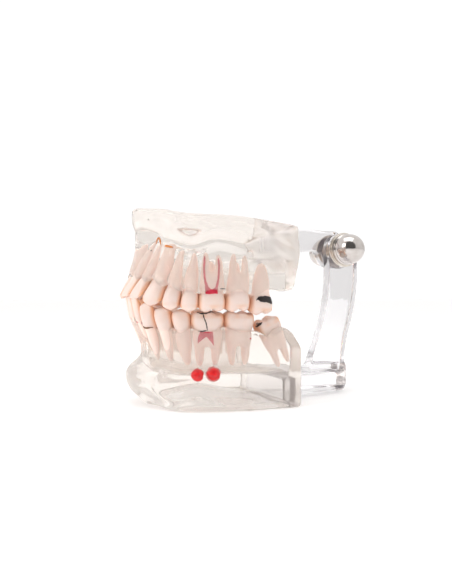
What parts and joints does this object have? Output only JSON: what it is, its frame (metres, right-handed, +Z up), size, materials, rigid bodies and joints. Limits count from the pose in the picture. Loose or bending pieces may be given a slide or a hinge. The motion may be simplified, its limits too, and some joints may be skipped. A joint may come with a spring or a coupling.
{
  "type": "typodont model",
  "caption": "Clear dental study model: two hinged resin jaws with full-length embedded teeth, worn and diseased teeth on one side, and a lap hinge with domed nuts behind.",
  "frame": {"origin": "middle of the length, on the surface that the lower jaw stands on", "axes": "+Z up, -Y out of the front of the mouth, +X towards the patient's left"},
  "size_m": [0.066, 0.1088, 0.077],
  "materials": {
    "cast_resin": "clear cast resin, glossy, faintly warm",
    "clear_bracket": "clear polished acrylic",
    "tooth": "pinkish ivory moulded resin, semi-gloss",
    "red_inlay": "red resin inlay",
    "red_bead": "bright red glossy bead",
    "bolt_steel": "turned steel",
    "washer_steel": "turned and plated",
    "dome_chrome": "polished nickel plating"
  },
  "bodies": {
    "lower_jaw": {"lower_jaw_base": "cast_resin", "lower_hinge_bracket": "clear_bracket", "lower_left_central_incisor": "tooth", "lower_left_lateral_incisor": "tooth", "lower_left_canine": "tooth", "lower_left_first_premolar": "tooth", "lower_left_second_premolar": "tooth", "lower_left_first_molar": "tooth", "lower_left_second_molar": "tooth", "lower_left_third_molar": "tooth", "lower_right_central_incisor": "tooth", "lower_right_lateral_incisor": "tooth", "lower_right_canine": "tooth", "lower_right_first_premolar": "tooth", "lower_right_second_premolar": "tooth", "lower_right_first_molar": "tooth", "lower_right_second_molar": "tooth", "lower_right_third_molar": "tooth", "lower_molar_pulp": "red_inlay", "root_tip_cysts": "red_bead", "hinge_bolt": "bolt_steel", "left_hinge_washer": "washer_steel", "right_hinge_washer": "washer_steel", "left_domed_nut": "dome_chrome", "right_domed_nut": "dome_chrome"},
    "upper_jaw": {"upper_jaw_base": "cast_resin", "upper_hinge_arm": "clear_bracket", "upper_left_central_incisor": "tooth", "upper_left_lateral_incisor": "tooth", "upper_left_canine": "tooth", "upper_left_first_premolar": "tooth", "upper_left_second_premolar": "tooth", "upper_left_first_molar": "tooth", "upper_left_second_molar": "tooth", "upper_left_third_molar": "tooth", "upper_right_central_incisor": "tooth", "upper_right_lateral_incisor": "tooth", "upper_right_canine": "tooth", "upper_right_first_premolar": "tooth", "upper_right_second_premolar": "tooth", "upper_right_first_molar": "tooth", "upper_right_second_molar": "tooth", "upper_right_third_molar": "tooth", "upper_molar_canals": "red_inlay"}
  },
  "joints": [
    {"name": "jaw_hinge", "type": "hinge", "parent": "lower_jaw", "child": "upper_jaw", "pos_m": [0, 0.0462, 0.0633], "axis": [-1, 0, 0], "range_deg": [0, 120]}
  ]
}
